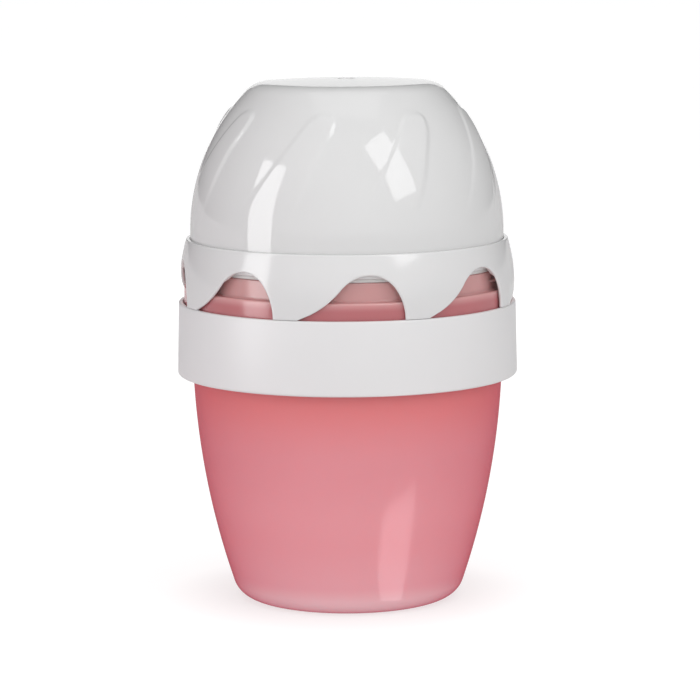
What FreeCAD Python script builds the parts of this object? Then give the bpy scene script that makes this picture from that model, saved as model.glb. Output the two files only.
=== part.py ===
"""Hand-shaken ice cream maker, 111 mm across and 170 mm tall, as a FreeCAD document.

A tinted outer cup holds the ice and salt. A mixing cup hangs in it from a swivel band that screws onto the
outer cup's neck. A collar with a dripping edge screws onto the mixing cup's neck and clamps the inner lid,
and a swirled dome plugs into the collar. Lengths are millimetres and angles degrees. +Z is up, the origin is
the centre of the base, and -Y is the front.
"""

import FreeCAD
import Part
import Sketcher
import math
import os

# Driving dimensions. Every name is a cell of the sheet, and "_z" is a height above the base.
SIZES = {
    "overall_height": 170.1,
    "wall": 2.0,
    "gap": 0.1,
    # outer cup
    "cup_widest_z": 84.7,
    "cup_side_bow": 250.0,
    "cup_foot_bend": 8.0,
    "cup_shoulder_radius": 50.5,
    "cup_shoulder_z": 75.0,
    "cup_floor": 2.6,
    "cup_recess_radius": 22.0,
    "cup_recess_depth": 0.8,
    "neck_radius": 49.8,
    "neck_bore": 47.6,
    "neck_rim_z": 90.5,
    # swivel band
    "band_top_radius": 55.0,
    "band_foot_radius": 55.5,
    "band_top_z": 98.0,
    "band_foot_z": 74.2,
    "band_bore": 53.0,
    "band_mouth": 52.3,
    "band_bead_radius": 51.4,
    "band_bead_z": 94.1,
    "band_bead_top_z": 96.0,
    "band_lip_bore": 53.5,
    # thread between the outer cup and the band
    "band_lead": 32.0,
    "band_starts": 6,
    "cup_lug_crest": 51.6,
    "cup_lug_z": 81.0,
    "cup_lug_arc": 40.0,
    "band_lug_crest": 50.3,
    "band_lug_arc": 30.0,
    "band_lug_drop": 2.4,
    # mixing cup
    "seal_height": 1.5,
    "flange_radius": 52.7,
    "flange_height": 2.0,
    "groove_radius": 51.0,
    "shoulder_radius": 53.2,
    "shoulder_z": 96.1,
    "shoulder_top_z": 103.5,
    "mix_neck_radius": 50.8,
    "mix_neck_bore": 48.6,
    "mix_rim_z": 109.6,
    "bowl_top_radius": 45.4,
    "bowl_top_z": 87.0,
    "bowl_foot_radius": 37.0,
    "bowl_foot_z": 30.0,
    "bowl_bend": 8.0,
    "fin_count": 4,
    "fin_reach": 4.5,
    # thread between the mixing cup and the collar
    "collar_lead": 32.0,
    "drip_count": 8,
    "mix_lug_crest": 52.3,
    "mix_lug_z": 106.5,
    "mix_lug_arc": 20.0,
    "mix_lug_turn": -71.0,
    "collar_lug_crest": 51.3,
    "collar_lug_arc": 10.0,
    "collar_lug_drop": 1.8,
    # inner lid
    "lid_seal_height": 1.2,
    "lid_radius": 51.9,
    "lid_thickness": 1.5,
    "plug_radius": 48.2,
    "plug_bore": 46.4,
    "plug_foot_z": 104.6,
    "dish_thickness": 1.8,
    "grip_length": 58.0,
    "grip_top_z": 117.0,
    "grip_thickness": 5.0,
    # collar
    "collar_foot_radius": 54.8,
    "collar_foot_z": 98.15,
    "collar_skirt_z": 101.0,
    "collar_bow": 62.0,
    "collar_top_radius": 52.3,
    "collar_top_z": 118.6,
    "collar_bore": 53.5,
    "collar_waist_bore": 52.2,
    "collar_waist_z": 109.4,
    "ledge_radius": 47.8,
    "ledge_z": 112.5,
    "ledge_height": 1.8,
    "socket_radius": 51.35,
    "tab_radius": 51.5,
    "tab_z": 109.5,
    "tab_height": 1.0,
    "tab_arc": 10.0,
    "tab_turn": -65.2,
    # windows between the drips, seen square on, measured from the front line
    "window_left": -15.6,
    "window_right": 18.4,
    "window_peak_x": 7.0,
    "window_height": 14.0,
    "window_bend_x": -2.2,
    "window_bend_height": 9.2,
    "window_hollow_bow": 33.0,
    "window_crest_bow": 12.6,
    "window_brow_bow": 10.2,
    "window_cheek_bow": 16.8,
    # dome
    "dome_radius": 51.0,
    "dome_wall": 1.8,
    "dome_foot_z": 114.4,
    "dome_spring_z": 120.6,
    "dome_bow": 66.0,
    "dome_shoulder_bend": 8.5,
    "dome_crown_bow": 400.0,
    "dimple_radius": 2.8,
    "dimple_depth": 0.6,
    "gate_radius": 0.8,
    "gate_height": 0.3,
    "swirl_count": 8,
    "swirl_root": 1.2,
    "swirl_sink": 0.5,
}

# Radial slices of a swirl lobe, from its round nose to its tail: turn, top and foot heights, and step.
SWIRL = [
    (-4.5, 159.2, 155.0, 0.5),
    (-8.0, 161.2, 148.5, 0.75),
    (-12.5, 161.6, 139.0, 0.8),
    (-17.5, 160.2, 131.0, 0.8),
    (-23.0, 154.6, 126.0, 0.75),
    (-29.0, 147.3, 123.5, 0.6),
    (-35.5, 138.7, 122.0, 0.35),
    (-42.0, 130.0, 121.2, 0.05),
]
for index, row in enumerate(SWIRL):
    for part, value in zip(("turn", "top_z", "foot_z", "step"), row):
        SIZES[f"swirl_{index}_{part}"] = value

SHEET = "Sizes"
FRONT_PLANE, LEVEL_PLANE, UPRIGHT_AXIS = "XZ_Plane", "XY_Plane", "Z_Axis"
START, END, CENTRE = 1, 2, 3  # Sketcher's numbers for the points of a line or an arc
ORIGIN, ACROSS, UPWARD = (-1, 1), -1, -2  # a sketch's origin point, horizontal axis and vertical axis
BY_HEIGHT = 1  # AdditiveHelix mode: pitch, turns and angle
EDGE_SEARCH = 0.02


class Dim:
    """A number that remembers the sheet expression it comes from, so that sums of sizes stay parametric."""

    def __init__(self, value, text):
        self.value = float(value)
        self.text = text

    def join(self, other, sign, result):
        return Dim(result, f"({self.text} {sign} {as_dim(other).text})")

    def __add__(self, other):
        return self.join(other, "+", self.value + as_dim(other).value)

    def __sub__(self, other):
        return self.join(other, "-", self.value - as_dim(other).value)

    def __mul__(self, other):
        return self.join(other, "*", self.value * as_dim(other).value)

    def __truediv__(self, other):
        return self.join(other, "/", self.value / as_dim(other).value)


def as_dim(number):
    return number if isinstance(number, Dim) else Dim(number, repr(float(number)))


class Sizes:
    """Reads a size by name, as in size.wall."""

    def __getattr__(self, name):
        return Dim(SIZES[name], f"{SHEET}.{name}")


size = Sizes()
zero = as_dim(0)


def make_sheet(doc):
    sheet = doc.addObject("Spreadsheet::Sheet", SHEET)
    for row, (name, value) in enumerate(SIZES.items(), start=1):
        sheet.set(f"A{row}", name)
        sheet.set(f"B{row}", str(value))
        sheet.setAlias(f"B{row}", name)
    doc.recompute()


def origin_feature(body, role):
    return next(f for f in body.Origin.OriginFeatures if f.Role == role)


def make_body(doc, name):
    body = doc.addObject("PartDesign::Body", name)
    body.Label = name
    return body


def make_sketch(body, name, plane=FRONT_PLANE, turn=None):
    """A sketch on one of the body's own planes. turn swings an upright sketch round the vertical axis."""
    sketch = body.newObject("Sketcher::SketchObject", name)
    sketch.AttachmentSupport = (origin_feature(body, plane), [""])
    sketch.MapMode = "FlatFace"
    if turn is not None:
        swing = FreeCAD.Rotation(FreeCAD.Vector(0, 1, 0), turn.value)
        sketch.AttachmentOffset = FreeCAD.Placement(FreeCAD.Vector(), swing)
        sketch.setExpression("AttachmentOffset.Rotation.Angle", turn.text)
    return sketch


class Outline:
    """Draws a closed outline in a sketch and ties each (x, height) corner to the sheet."""

    def __init__(self, sketch, x, height):
        self.sketch = sketch
        self.first = self.here = (x, height)
        self.pieces = []  # (geometry number, starting point, ending point, tangent to the one before)

    def add(self, curve, start, end, tangent):
        number = self.sketch.addGeometry(curve, False)
        self.pieces.append((number, start, end, tangent))
        return number

    def line(self, x, height, pin="xz", tangent=False):
        """A straight side to a corner. pin says which of its coordinates the sheet holds."""
        x, height = as_dim(x), as_dim(height)
        number = self.add(Part.LineSegment(vector(self.here), vector((x, height))), START, END, tangent)
        self.pin(number, END, x, height, pin)
        self.here = (x, height)
        return number

    def arc(self, x, height, radius, left, pin="xz", tangent=False):
        """A round side to a corner. left says whether its centre is on the left of the way there."""
        x, height = as_dim(x), as_dim(height)
        a, b = vector(self.here), vector((x, height))
        chord = b - a
        rise = math.sqrt(max(radius.value**2 - (chord.Length / 2) ** 2, 0.0))
        side = FreeCAD.Vector(-chord.y, chord.x, 0).normalize() * (rise if left else -rise)
        centre = a + chord * 0.5 + side
        angles = [math.atan2(p.y - centre.y, p.x - centre.x) for p in ((a, b) if left else (b, a))]
        circle = Part.Circle(centre, FreeCAD.Vector(0, 0, 1), radius.value)
        start, end = (START, END) if left else (END, START)
        number = self.add(Part.ArcOfCircle(circle, *angles), start, end, tangent)
        self.bind("Radius", number, radius=radius)
        self.pin(number, end, x, height, pin)
        self.here = (x, height)
        return number

    def bind(self, kind, *where, radius):
        index = self.sketch.addConstraint(Sketcher.Constraint(kind, *where, radius.value))
        self.sketch.setExpression(f"Constraints[{index}]", radius.text)

    def pin(self, number, point, x, height, pin):
        ties = (("x", "DistanceX", UPWARD, x), ("z", "DistanceY", ACROSS, height))
        for letter, kind, axis, length in ties:
            if letter not in pin:
                continue
            if length.value == 0:
                self.sketch.addConstraint(Sketcher.Constraint("PointOnObject", number, point, axis))
            else:
                self.bind(kind, *ORIGIN, number, point, radius=length)

    def close(self, tangent=False):
        """Ends the outline with a straight side back to the first corner."""
        self.line(*self.first, tangent=tangent)
        self.join()

    def join(self):
        """Joins every side to the next, and the last to the first."""
        for index, (number, start, _, tangent_here) in enumerate(self.pieces):
            before, _, before_end, _ = self.pieces[index - 1]
            kind = "Tangent" if tangent_here else "Coincident"
            self.sketch.addConstraint(Sketcher.Constraint(kind, before, before_end, number, start))


def vector(corner):
    x, height = corner
    return FreeCAD.Vector(x.value, height.value, 0)


def draw(sketch, corners):
    """A closed outline of straight sides."""
    outline = Outline(sketch, *map(as_dim, corners[0]))
    for corner in corners[1:]:
        outline.line(*corner)
    outline.close()


def revolve(body, sketch, name, angle=None):
    feature = body.newObject("PartDesign::Revolution", name)
    feature.Profile = sketch
    feature.ReferenceAxis = (sketch, ["V_Axis"])
    feature.Angle = 360.0 if angle is None else angle.value
    if angle is not None:
        feature.setExpression("Angle", angle.text)
    return feature


def pad(body, sketch, name, thickness):
    """Material on both sides of an upright sketch."""
    feature = body.newObject("PartDesign::Pad", name)
    feature.Profile = sketch
    feature.Length = thickness.value
    feature.setExpression("Length", thickness.text)
    feature.Midplane = True
    return feature


def polar(body, original, name, count):
    """Repeats a feature evenly round the upright axis."""
    pattern = body.newObject("PartDesign::PolarPattern", name)
    pattern.Originals = [original]
    pattern.Axis = (origin_feature(body, UPRIGHT_AXIS), [""])
    pattern.Angle = 360.0
    pattern.Occurrences = int(count.value)
    pattern.setExpression("Occurrences", count.text)
    body.Tip = pattern
    return pattern


def round_edges(body, name, radius, rings):
    """Fillets the circular edges that lie at these (radius, height) pairs."""
    body.Document.recompute()
    names = []
    for index, edge in enumerate(body.Tip.Shape.Edges, start=1):
        if edge.Degenerated or not isinstance(edge.Curve, Part.Circle):
            continue
        at = (edge.Curve.Radius, edge.Curve.Center.z)
        if any(abs(at[0] - r.value) < EDGE_SEARCH and abs(at[1] - z.value) < EDGE_SEARCH for r, z in rings):
            names.append(f"Edge{index}")
    if len(names) < len(rings):
        raise RuntimeError(f"{body.Label}: {name} found {len(names)} edges for {len(rings)} rings")
    base = body.Tip
    feature = body.newObject("PartDesign::Fillet", name)
    feature.Base = (base, names)
    feature.Radius = radius
    return feature


def lugs(body, name, root, crest, root_height, crest_height, middle_z, arc, turn, lead, count):
    """Short lengths of a many-start right-hand thread, rising by lead in a full turn."""
    sketch = make_sketch(body, f"{name}Section", turn=turn)
    half_root, half_crest = root_height / 2, crest_height / 2
    corners = [
        (root, middle_z - half_root),
        (crest, middle_z - half_crest),
        (crest, middle_z + half_crest),
        (root, middle_z + half_root),
    ]
    draw(sketch, corners)
    helix = body.newObject("PartDesign::AdditiveHelix", name)
    helix.Profile = sketch
    helix.ReferenceAxis = (sketch, ["V_Axis"])
    helix.Mode = BY_HEIGHT
    helix.Pitch = lead.value
    helix.setExpression("Pitch", lead.text)
    helix.Turns = arc.value / 360
    helix.setExpression("Turns", f"{arc.text} / 360")
    helix.LeftHanded = False
    helix.Reversed = False
    polar(body, helix, f"{name}Ring", count)


def make_outer_cup(doc):
    body = make_body(doc, "outer_cup")
    sketch = make_sketch(body, "CupProfile")
    side_radius = size.cup_side_bow
    inner_side = size.cup_side_bow - size.wall
    inner_bend = size.cup_foot_bend - size.wall
    outline = Outline(sketch, zero, size.cup_recess_depth)
    outline.line(size.cup_recess_radius, size.cup_recess_depth)
    outline.line(size.cup_recess_radius, 0)
    outline.line(29.3, 0, pin="z")
    outline.arc(36.9, 5.5, size.cup_foot_bend, left=True, pin="", tangent=True)
    side = outline.arc(size.cup_shoulder_radius, size.cup_shoulder_z, side_radius, left=True, tangent=True)
    outline.bind("DistanceY", *ORIGIN, side, CENTRE, radius=size.cup_widest_z)
    outline.line(size.neck_radius, size.cup_shoulder_z + 1)
    outline.line(size.neck_radius, size.neck_rim_z)
    outline.line(size.neck_bore, size.neck_rim_z)
    outline.line(size.neck_bore, size.cup_shoulder_z + 2)
    outline.line(size.cup_shoulder_radius - size.wall, size.cup_shoulder_z - 1)
    inner = outline.arc(35.0, 7.0, inner_side, left=False, pin="")
    outline.bind("DistanceY", *ORIGIN, inner, CENTRE, radius=size.cup_widest_z)
    outline.arc(29.3, size.cup_floor, inner_bend, left=False, pin="z", tangent=True)
    outline.line(zero, size.cup_floor, tangent=True)
    outline.close()
    revolve(body, sketch, "CupShell")
    rims = [(size.neck_radius, size.neck_rim_z), (size.neck_bore, size.neck_rim_z)]
    round_edges(body, "RimRounding", 0.5, rims)
    round_edges(body, "RecessRounding", 0.4, [(size.cup_recess_radius, zero)])
    lugs(
        body,
        "CupLug",
        root=size.neck_radius - 0.3,
        crest=size.cup_lug_crest,
        root_height=as_dim(3.2),
        crest_height=as_dim(1.6),
        middle_z=size.cup_lug_z,
        arc=size.cup_lug_arc,
        turn=zero,
        lead=size.band_lead,
        count=size.band_starts,
    )
    return body


def make_grip_band(doc):
    body = make_body(doc, "grip_band")
    sketch = make_sketch(body, "BandProfile")
    corners = [
        (size.band_foot_radius, size.band_foot_z),
        (size.band_top_radius, size.band_top_z),
        (size.band_lip_bore, size.band_top_z),
        (size.band_lip_bore, size.band_bead_top_z),
        (size.band_bead_radius, size.band_bead_top_z),
        (size.band_bead_radius, size.band_bead_z),
        (size.band_bore, size.band_bead_z),
        (size.band_bore, size.band_foot_z + 2),
        (size.band_mouth, size.band_foot_z + 1.2),
        (size.band_mouth, size.band_foot_z),
    ]
    draw(sketch, corners)
    revolve(body, sketch, "BandRing")
    lip = [(size.band_top_radius, size.band_top_z), (size.band_lip_bore, size.band_top_z)]
    round_edges(body, "LipRounding", 0.4, lip)
    foot = [(size.band_foot_radius, size.band_foot_z), (size.band_mouth, size.band_foot_z)]
    round_edges(body, "FootRounding", 0.5, foot)
    lead_in = (size.cup_lug_arc - size.band_lug_arc) / 2
    lugs(
        body,
        "BandLug",
        root=size.band_bore + 0.3,
        crest=size.band_lug_crest,
        root_height=as_dim(3.0),
        crest_height=as_dim(1.4),
        middle_z=size.cup_lug_z - size.band_lug_drop + size.band_lead * lead_in / 360,
        arc=size.band_lug_arc,
        turn=lead_in,
        lead=size.band_lead,
        count=size.band_starts,
    )
    return body


def make_ring(doc, name, inner, outer, foot_z, height, rounding):
    """A flat seal with rounded edges."""
    body = make_body(doc, name)
    sketch = make_sketch(body, "SealProfile")
    top_z = foot_z + height
    draw(sketch, [(inner, foot_z), (outer, foot_z), (outer, top_z), (inner, top_z)])
    revolve(body, sketch, "SealRing")
    rings = [(radius, z) for radius in (inner, outer) for z in (foot_z, top_z)]
    round_edges(body, "SealRounding", rounding, rings)
    return body


def make_mixing_cup(doc):
    body = make_body(doc, "mixing_cup")
    sketch = make_sketch(body, "MixProfile")
    flange_z = size.neck_rim_z + size.seal_height + size.gap
    flange_top = flange_z + size.flange_height - size.gap
    inner_bend = size.bowl_bend - size.wall
    outline = Outline(sketch, zero, size.bowl_foot_z)
    outline.line(28.5, size.bowl_foot_z, pin="z")
    outline.arc(35.7, 37.0, size.bowl_bend, left=True, pin="", tangent=True)
    outline.line(size.bowl_top_radius, size.bowl_top_z, tangent=True)
    outline.line(size.bowl_top_radius + 1.4, flange_z)
    outline.line(size.flange_radius, flange_z)
    outline.line(size.flange_radius, flange_top)
    outline.line(size.groove_radius, flange_top)
    outline.line(size.groove_radius, size.shoulder_z)
    outline.line(size.shoulder_radius, size.shoulder_z)
    outline.line(size.shoulder_radius, size.shoulder_top_z)
    outline.line(size.mix_neck_radius, size.shoulder_top_z)
    outline.line(size.mix_neck_radius, size.mix_rim_z)
    outline.line(size.mix_neck_bore, size.mix_rim_z)
    outline.line(size.mix_neck_bore, size.shoulder_z)
    outline.line(size.bowl_top_radius - size.wall, size.bowl_top_z)
    outline.line(33.7, 38.5, pin="", tangent=False)
    outline.arc(27.5, size.bowl_foot_z + size.wall, inner_bend, left=False, pin="z", tangent=True)
    outline.line(zero, size.bowl_foot_z + size.wall, tangent=True)
    outline.close()
    outer_wall, inner_wall = outline.pieces[2][0], outline.pieces[15][0]
    sketch.addConstraint(Sketcher.Constraint("Parallel", outer_wall, inner_wall))
    foot_corner = (size.bowl_foot_radius, size.bowl_foot_z)
    top_corner = (size.bowl_top_radius, size.bowl_top_z)
    guide = sketch.addGeometry(Part.LineSegment(vector(foot_corner), vector(top_corner)), True)
    outline.pin(guide, START, *foot_corner, "xz")
    outline.pin(guide, END, *top_corner, "xz")
    sketch.addConstraint(Sketcher.Constraint("Parallel", guide, outer_wall))
    revolve(body, sketch, "MixShell")
    rims = [(size.mix_neck_radius, size.mix_rim_z), (size.mix_neck_bore, size.mix_rim_z)]
    round_edges(body, "RimRounding", 0.5, rims)
    round_edges(body, "ShoulderRounding", 0.7, [(size.shoulder_radius, size.shoulder_top_z)])
    round_edges(body, "NeckRounding", 0.8, [(size.mix_neck_radius, size.shoulder_top_z)])
    fin = make_sketch(body, "FinProfile")
    wall_middle = size.wall / 2
    fin_corners = [
        (size.bowl_top_radius - wall_middle, size.bowl_top_z - 4),
        (size.bowl_top_radius - wall_middle - size.fin_reach, size.bowl_top_z - 12),
        (size.bowl_foot_radius - wall_middle - size.fin_reach - 4, size.bowl_foot_z + wall_middle),
        (size.bowl_foot_radius - 8, size.bowl_foot_z + wall_middle),
        (size.bowl_foot_radius - 2, size.bowl_foot_z + size.bowl_bend - 1),
    ]
    draw(fin, fin_corners)
    polar(body, pad(body, fin, "Fin", size.wall), "Fins", size.fin_count)
    lugs(
        body,
        "MixLug",
        root=size.mix_neck_radius - 0.2,
        crest=size.mix_lug_crest,
        root_height=as_dim(2.0),
        crest_height=as_dim(1.0),
        middle_z=size.mix_lug_z,
        arc=size.mix_lug_arc,
        turn=size.mix_lug_turn,
        lead=size.collar_lead,
        count=size.drip_count,
    )
    return body


def make_inner_lid(doc):
    body = make_body(doc, "inner_lid")
    sketch = make_sketch(body, "LidProfile")
    flange_z = size.mix_rim_z + size.lid_seal_height + size.gap
    flange_top = flange_z + size.lid_thickness
    dish_z = size.plug_foot_z + size.dish_thickness
    corners = [
        (zero, size.plug_foot_z),
        (size.plug_radius, size.plug_foot_z),
        (size.plug_radius, flange_z),
        (size.lid_radius, flange_z),
        (size.lid_radius, flange_top),
        (size.plug_bore, flange_top),
        (size.plug_bore, dish_z),
        (zero, dish_z),
    ]
    draw(sketch, corners)
    revolve(body, sketch, "LidDisc")
    round_edges(body, "FlangeRounding", 0.4, [(size.lid_radius, flange_z), (size.lid_radius, flange_top)])
    plug_edges = [(size.plug_radius, size.plug_foot_z), (size.plug_bore, flange_top)]
    round_edges(body, "PlugRounding", 0.8, plug_edges)
    grip = make_sketch(body, "GripProfile")
    half = size.grip_length / 2
    outline = Outline(grip, zero - half, dish_z - 0.5)
    outline.line(half, dish_z - 0.5)
    outline.line(half - 3, dish_z + 5)
    outline.arc(half * 0.45, size.grip_top_z, as_dim(16.0), left=True)
    outline.line(zero - half * 0.45, size.grip_top_z)
    outline.arc(zero - half + 3, dish_z + 5, as_dim(16.0), left=True)
    outline.close()
    pad(body, grip, "Grip", size.grip_thickness)
    return body


def make_collar(doc):
    body = make_body(doc, "drip_collar")
    sketch = make_sketch(body, "CollarProfile")
    outline = Outline(sketch, size.collar_bore, size.collar_foot_z)
    outline.line(size.collar_foot_radius, size.collar_foot_z)
    outline.line(size.collar_foot_radius, size.collar_skirt_z)
    outline.arc(size.collar_top_radius, size.collar_top_z, size.collar_bow, left=True)
    outline.line(size.socket_radius, size.collar_top_z)
    outline.line(size.socket_radius, size.ledge_z + size.ledge_height)
    outline.line(size.ledge_radius, size.ledge_z + size.ledge_height)
    outline.line(size.ledge_radius, size.ledge_z)
    outline.line(size.collar_waist_bore, size.ledge_z)
    outline.line(size.collar_waist_bore, size.collar_waist_z)
    outline.line(size.collar_bore, size.collar_waist_z - 1)
    outline.close()
    revolve(body, sketch, "CollarRing")
    round_edges(body, "TopRounding", 0.45, [(size.collar_top_radius, size.collar_top_z)])
    window = make_sketch(body, "WindowProfile")
    below = size.collar_foot_z - 1
    peak_z = size.collar_foot_z + size.window_height
    outline = Outline(window, size.window_left, size.collar_foot_z)
    outline.line(size.window_left, below)
    outline.line(size.window_right, below)
    outline.line(size.window_right, size.collar_foot_z)
    outline.arc(15.34, 107.8, size.window_cheek_bow, left=True, pin="", tangent=True)
    outline.arc(size.window_peak_x, peak_z, size.window_brow_bow, left=True, tangent=True)
    bend = (size.window_bend_x, size.collar_foot_z + size.window_bend_height)
    outline.arc(*bend, size.window_crest_bow, left=True)
    outline.arc(size.window_left, size.collar_foot_z, size.window_hollow_bow, left=False)
    outline.join()
    cut = body.newObject("PartDesign::Pocket", "Window")
    cut.Profile = window
    cut.Type = 0
    cut.Length = 60.0
    cut.Reversed = True
    polar(body, cut, "Windows", size.drip_count)
    lead_in = (size.mix_lug_arc - size.collar_lug_arc) / 2
    lugs(
        body,
        "CollarLug",
        root=size.collar_bore + 0.3,
        crest=size.collar_lug_crest,
        root_height=as_dim(2.0),
        crest_height=as_dim(1.0),
        middle_z=size.mix_lug_z - size.collar_lug_drop + size.collar_lead * lead_in / 360,
        arc=size.collar_lug_arc,
        turn=size.mix_lug_turn + lead_in,
        lead=size.collar_lead,
        count=size.drip_count,
    )
    tab = make_sketch(body, "TabProfile", turn=size.tab_turn)
    tab_top = size.tab_z + size.tab_height
    tab_root = size.collar_waist_bore + 0.3
    tab_corners = [
        (size.tab_radius, size.tab_z),
        (tab_root, size.tab_z),
        (tab_root, tab_top),
        (size.tab_radius, tab_top),
    ]
    draw(tab, tab_corners)
    polar(body, revolve(body, tab, "Tab", size.tab_arc), "Tabs", size.drip_count)
    return body


def dome_outline(sketch, inset):
    """Half of the dome's section, inset mm inside its outer face."""
    top = size.overall_height - inset
    outline = Outline(sketch, zero, size.dome_foot_z)
    outline.line(size.dome_radius - inset, size.dome_foot_z)
    outline.line(size.dome_radius - inset, size.dome_spring_z)
    outline.arc(32.5, 166.0, size.dome_bow - inset, left=True, pin="", tangent=True)
    outline.arc(26.5, top - 0.9, size.dome_shoulder_bend - inset, left=True, pin="", tangent=True)
    crown = outline.arc(zero, top, size.dome_crown_bow - inset, left=True, tangent=True)
    sketch.addConstraint(Sketcher.Constraint("PointOnObject", crown, CENTRE, UPWARD))
    outline.close()


def dome_skin(height):
    """The radius of the dome's outer face at this height."""
    rise = height - size.dome_spring_z
    text = f"sqrt({size.dome_bow.text} ^ 2 - {rise.text} ^ 2)"
    bow = Dim(math.sqrt(size.dome_bow.value**2 - rise.value**2), text)
    return size.dome_radius - size.dome_bow + bow


def swirl_section(body, index):
    """A radial slice of one swirl lobe: a step at the top that fades out downwards."""
    name = f"swirl_{index}"
    parts = ("turn", "top_z", "foot_z", "step")
    turn, top, foot, step = (getattr(size, f"{name}_{part}") for part in parts)
    sketch = make_sketch(body, f"SwirlSlice{index}", turn=turn)
    root_top, root_foot = dome_skin(top), dome_skin(foot)
    outline = Outline(sketch, root_foot - size.swirl_root, foot)
    outline.line(root_foot - size.swirl_sink, foot)
    outline.arc(root_top + step, top, size.dome_bow, left=True)
    outline.line(root_top - size.swirl_root, top)
    outline.close()
    return sketch


def make_dome(doc):
    body = make_body(doc, "dome")
    sketch = make_sketch(body, "DomeProfile")
    top = size.overall_height
    dome_outline(sketch, zero)
    revolve(body, sketch, "DomeSolid")
    sections = []
    for index in range(len(SWIRL)):
        sections.append(swirl_section(body, index))
    lobe = body.newObject("PartDesign::AdditiveLoft", "SwirlLobe")
    lobe.Profile = sections[0]
    lobe.Sections = sections[1:]
    polar(body, lobe, "Swirl", size.swirl_count)
    cavity = make_sketch(body, "CavityProfile")
    dome_outline(cavity, size.dome_wall)
    hollow = body.newObject("PartDesign::Groove", "Cavity")
    hollow.Profile = cavity
    hollow.ReferenceAxis = (cavity, ["V_Axis"])
    hollow.Angle = 360.0
    inner_radius = size.dome_radius - size.dome_wall
    foot_edges = [(size.dome_radius, size.dome_foot_z), (inner_radius, size.dome_foot_z)]
    round_edges(body, "FootRounding", 0.4, foot_edges)
    dimple = make_sketch(body, "DimpleProfile")
    floor = top - size.dimple_depth
    dimple_corners = [
        (zero, floor + size.gate_height),
        (size.gate_radius, floor + size.gate_height),
        (size.gate_radius, floor),
        (size.dimple_radius - 0.6, floor),
        (size.dimple_radius, top + 0.1),
        (zero, top + 0.1),
    ]
    draw(dimple, dimple_corners)
    cut = body.newObject("PartDesign::Groove", "Dimple")
    cut.Profile = dimple
    cut.ReferenceAxis = (dimple, ["V_Axis"])
    cut.Angle = 360.0
    return body


def make_parts(doc):
    seal_gap = size.gap / 2
    cup_seal = (
        size.neck_bore + 0.2,
        size.neck_radius + 1.4,
        size.neck_rim_z + seal_gap,
        size.seal_height,
        0.3,
    )
    lid_seal = (
        size.plug_radius + 0.3,
        size.mix_neck_radius - 0.2,
        size.mix_rim_z + seal_gap,
        size.lid_seal_height,
        0.25,
    )
    return [
        make_outer_cup(doc),
        make_grip_band(doc),
        make_mixing_cup(doc),
        make_ring(doc, "cup_seal", *cup_seal),
        make_inner_lid(doc),
        make_ring(doc, "lid_seal", *lid_seal),
        make_collar(doc),
        make_dome(doc),
    ]


def check(doc, bodies):
    for item in doc.Objects:
        if "Invalid" in item.State or "Error" in item.State:
            raise RuntimeError(f"{item.Name} failed: {item.State}")
    for body in bodies:
        shape = body.Shape
        if shape.isNull() or not shape.isValid() or len(shape.Solids) != 1:
            raise RuntimeError(f"{body.Label} has {len(shape.Solids)} solids, valid {shape.isValid()}")


def main():
    doc = FreeCAD.newDocument("IceCreamMaker")
    make_sheet(doc)
    bodies = make_parts(doc)
    doc.recompute()
    check(doc, bodies)
    os.makedirs("parts", exist_ok=True)
    for body in bodies:
        body.Shape.exportStep(os.path.join("parts", f"{body.Label}.step"))
        box, volume = body.Shape.BoundBox, body.Shape.Volume
        print(f"{body.Label}: {volume:.0f} mm3, z {box.ZMin:.2f} to {box.ZMax:.2f}, x {box.XMax:.2f}")


main()
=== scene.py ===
"""Looks for the hand-shaken ice cream maker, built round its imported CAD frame.

Shapes are worked out in millimetres in the frame's axes and turned into metres when a mesh is made.
+Z is up, -Y is the front, and angles are measured from the front towards +X.
"""

import math

import bpy
import numpy as np
from mathutils import Euler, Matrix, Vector


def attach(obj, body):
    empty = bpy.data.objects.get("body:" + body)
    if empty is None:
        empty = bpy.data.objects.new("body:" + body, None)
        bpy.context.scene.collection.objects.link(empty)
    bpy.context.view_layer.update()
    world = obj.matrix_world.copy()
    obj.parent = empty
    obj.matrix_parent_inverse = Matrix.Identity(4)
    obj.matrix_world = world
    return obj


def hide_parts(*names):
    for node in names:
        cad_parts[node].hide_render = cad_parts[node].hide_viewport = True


MM = 0.001
TAU = 2 * math.pi
FINE = 288  # segments of a smooth ring
SHARP_EDGE = 38.0  # degrees between faces, over which an edge is drawn sharp

THREAD_LEAD = 32.0  # rise of either thread in one turn
BAND_THREAD_Z, BAND_LUGS = 81.0, 6
COLLAR_THREAD_Z, COLLAR_LUGS, COLLAR_LUG_START = 106.5, 8, -71.0
LEAD_IN = 5.0  # degrees that a ring's lugs start past the lugs that they hook under

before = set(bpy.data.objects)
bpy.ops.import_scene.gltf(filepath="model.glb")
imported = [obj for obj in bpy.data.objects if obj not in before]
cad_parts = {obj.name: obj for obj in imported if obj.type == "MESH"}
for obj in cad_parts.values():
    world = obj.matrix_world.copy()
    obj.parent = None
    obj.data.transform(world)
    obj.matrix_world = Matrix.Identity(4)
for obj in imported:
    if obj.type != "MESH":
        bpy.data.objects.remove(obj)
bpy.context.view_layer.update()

# ---------------------------------------------------------------- outlines and meshes


def arc(start, end, radius, left, count):
    """Points of an arc from start to end, both included. left says whether its centre is on the left."""
    a, b = np.array(start, float), np.array(end, float)
    chord = b - a
    length = float(np.hypot(*chord))
    rise = math.sqrt(max(radius**2 - (length / 2) ** 2, 0.0))
    side = np.array([-chord[1], chord[0]]) / length * (rise if left else -rise)
    centre = (a + b) / 2 + side
    first = math.atan2(*(a - centre)[::-1])
    last = math.atan2(*(b - centre)[::-1])
    if left and last < first:
        last += TAU
    if not left and last > first:
        last -= TAU
    turn = np.linspace(first, last, count)
    return [tuple(centre + radius * np.array([math.cos(t), math.sin(t)])) for t in turn]


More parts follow.
